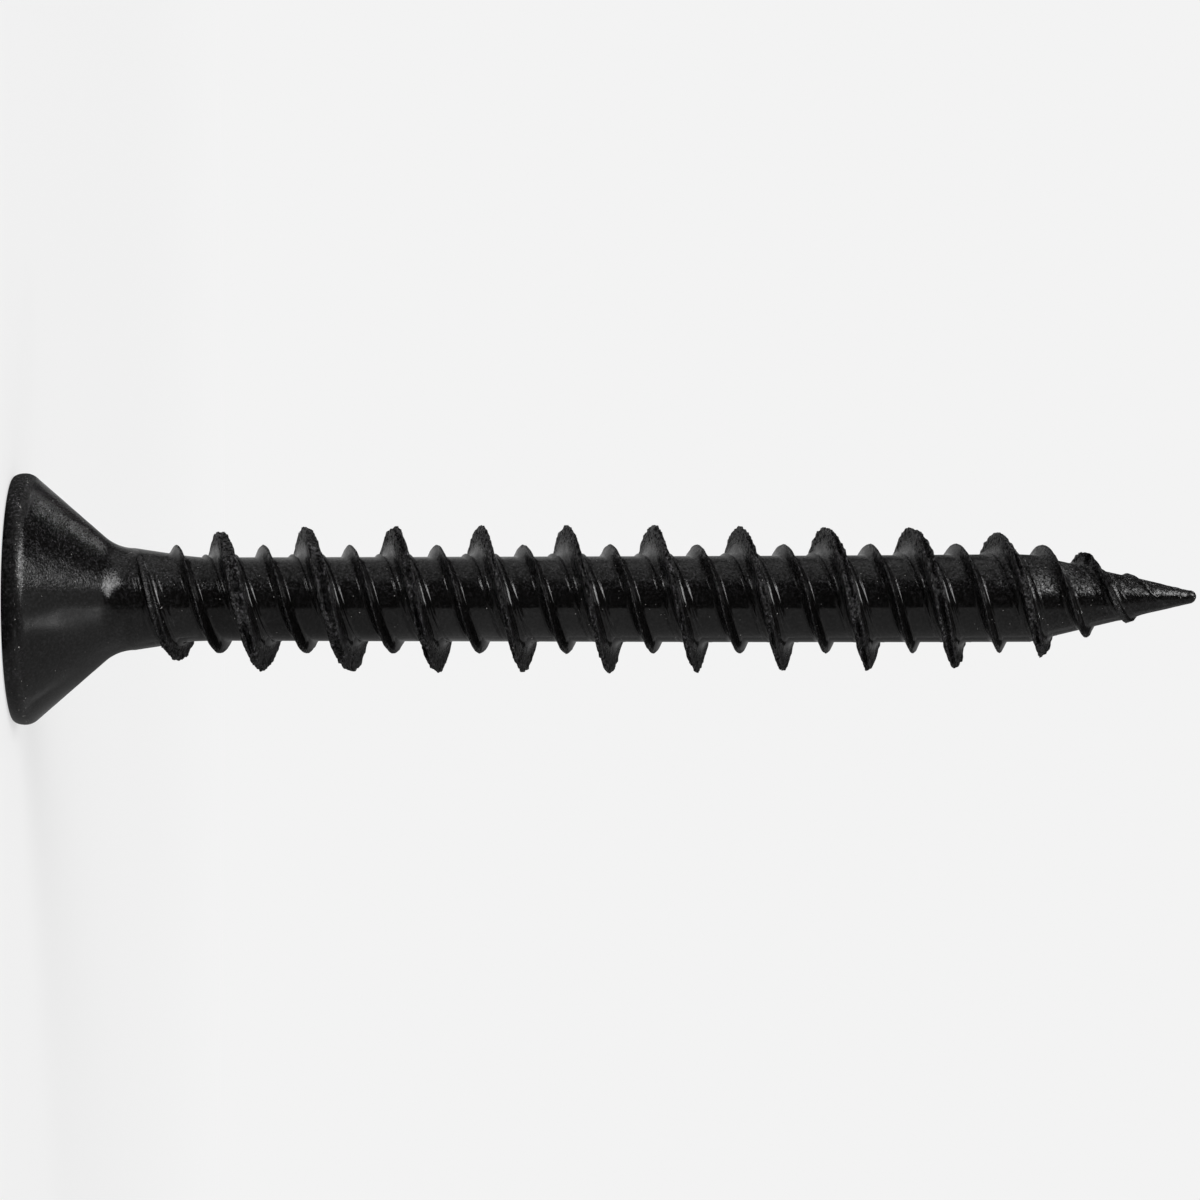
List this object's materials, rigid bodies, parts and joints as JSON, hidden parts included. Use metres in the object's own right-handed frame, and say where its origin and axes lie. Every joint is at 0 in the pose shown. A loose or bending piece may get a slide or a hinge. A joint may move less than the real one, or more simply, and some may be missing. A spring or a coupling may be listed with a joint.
{
  "type": "concrete screw",
  "caption": "Countersunk concrete screw with a cross recess, a high and low thread and a black coat, for fixing to masonry.",
  "frame": {"origin": "centre of the head's flat face, which stands on the surface", "axes": "+Z along the screw's axis from the head to the point; X and Y along the wings of the cross recess"},
  "size_m": [0.0094, 0.0094, 0.0444],
  "materials": {
    "black_coat": "glossy black coat on steel, worn matt on the thread crests"
  },
  "bodies": {
    "root": {"concrete_screw": "black_coat"}
  },
  "joints": []
}
